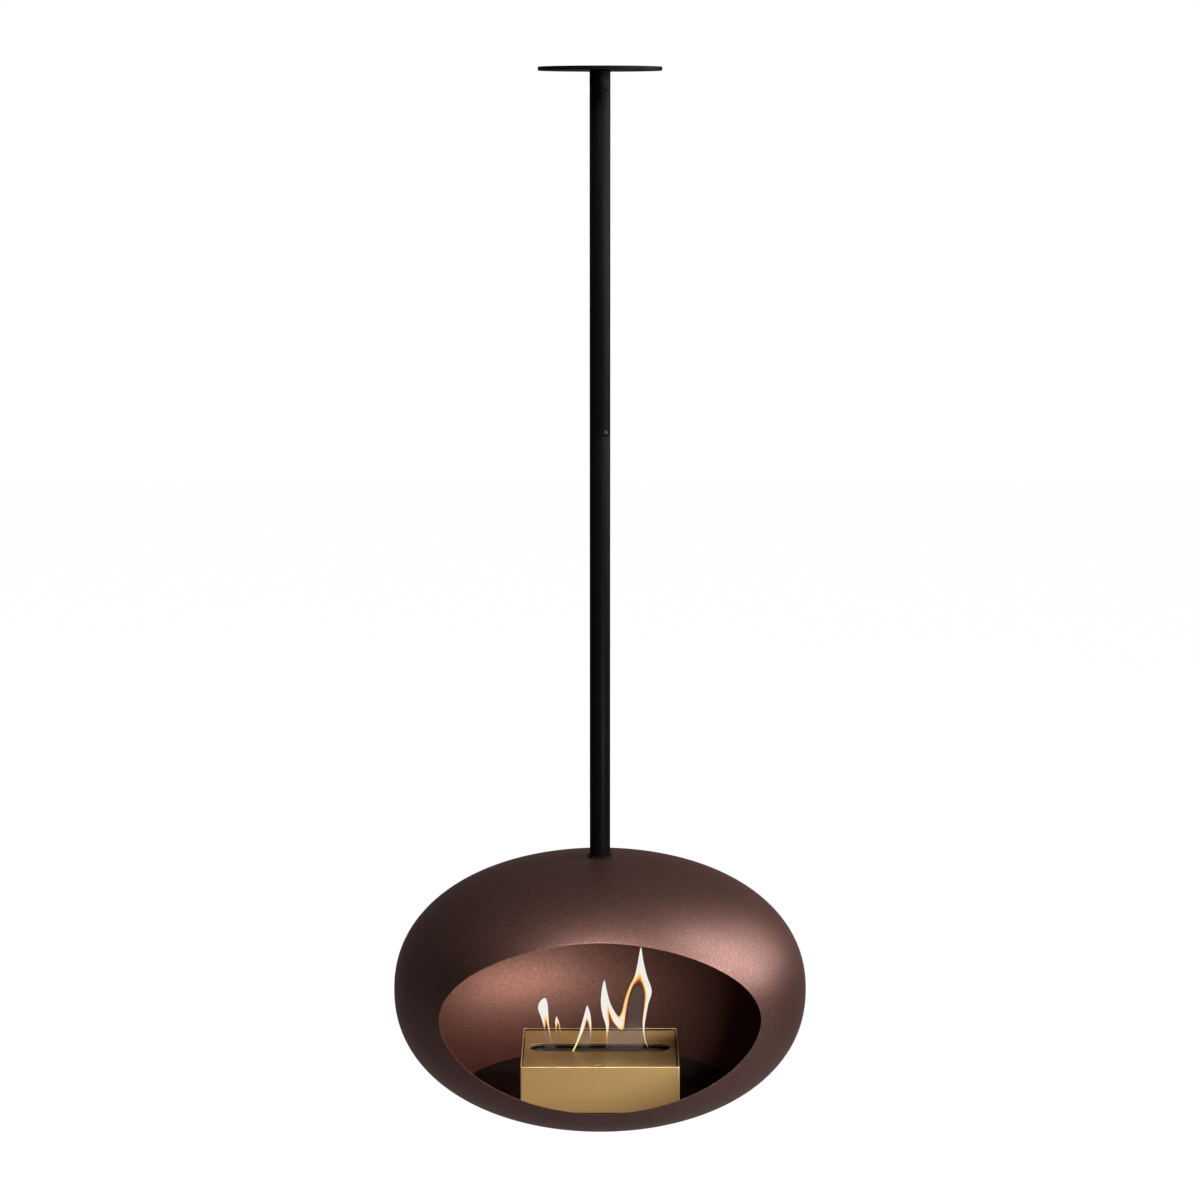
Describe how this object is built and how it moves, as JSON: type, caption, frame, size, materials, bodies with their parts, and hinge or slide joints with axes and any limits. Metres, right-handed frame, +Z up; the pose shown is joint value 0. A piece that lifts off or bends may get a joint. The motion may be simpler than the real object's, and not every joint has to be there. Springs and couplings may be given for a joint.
{
  "type": "hanging fireplace",
  "caption": "Ceiling-hung bioethanol fireplace: a flattened steel dome with a wide front mouth, turning on a round pole, with a lift-out slot burner.",
  "frame": {"origin": "centre of the ceiling plate's top face", "axes": "+Z up along the pole, the dome's mouth faces -Y, +X to the right as seen from the front"},
  "size_m": [0.65, 0.5923, 1.6485],
  "materials": {
    "black_coat": "fine-textured matt black powder coat",
    "mocca_coat": "satin mocha-brown metallic powder coat with a fine sparkle",
    "hearth_coat": "matt black-brown heat-resistant coat",
    "satin_brass": "fine satin, brass-coloured",
    "plain_steel": "plain steel",
    "bronze": "sintered bronze",
    "black_polymer": "matt, heat-resistant",
    "ceramic_wool": "felted ceramic fibre"
  },
  "bodies": {
    "ceiling": {"ceiling_plate": "black_coat", "swivel_housing": "black_coat", "housing_set_screw": "plain_steel", "thrust_washer": "bronze"},
    "hanger": {"swivel_bolt": "plain_steel", "slip_washer": "black_polymer", "pole_top_plug": "plain_steel", "swivel_nut": "plain_steel", "upper_tube": "black_coat", "tube_coupler": "plain_steel", "coupler_screw_upper": "plain_steel", "coupler_screw_lower": "plain_steel", "lower_tube": "black_coat", "pole_end_stud": "plain_steel", "dome_lower": "mocca_coat", "dome_upper": "mocca_coat", "crown_gasket": "black_polymer", "crown_plate": "black_coat", "crown_washer": "plain_steel", "crown_nut": "plain_steel", "crown_lock_nut": "plain_steel", "hearth_plate": "hearth_coat"},
    "burner": {"burner_casing": "satin_brass", "burner_base": "plain_steel", "burner_foot_front_left": "black_polymer", "burner_foot_front_right": "black_polymer", "burner_foot_back_left": "black_polymer", "burner_foot_back_right": "black_polymer", "foot_screw_front_left": "plain_steel", "foot_screw_front_right": "plain_steel", "foot_screw_back_left": "plain_steel", "foot_screw_back_right": "plain_steel"},
    "insert": {"burner_top_plate": "satin_brass", "fuel_container": "plain_steel", "wick_pad": "ceramic_wool", "wick_retainer": "plain_steel", "container_nut_front_left": "plain_steel", "container_nut_front_right": "plain_steel", "container_nut_back_left": "plain_steel", "container_nut_back_right": "plain_steel"}
  },
  "joints": [
    {"name": "pole_swivel", "type": "hinge", "parent": "ceiling", "child": "hanger", "pos_m": [0, 0, -0.036], "axis": [0, 0, 1], "continuous": true},
    {"name": "burner_slide", "type": "slide", "parent": "hanger", "child": "burner", "axis": [0, -0.8746, 0.4848], "range_m": [0, 0.43]},
    {"name": "insert_lift", "type": "slide", "parent": "burner", "child": "insert", "axis": [0, 0, 1], "range_m": [0, 0.075]}
  ]
}
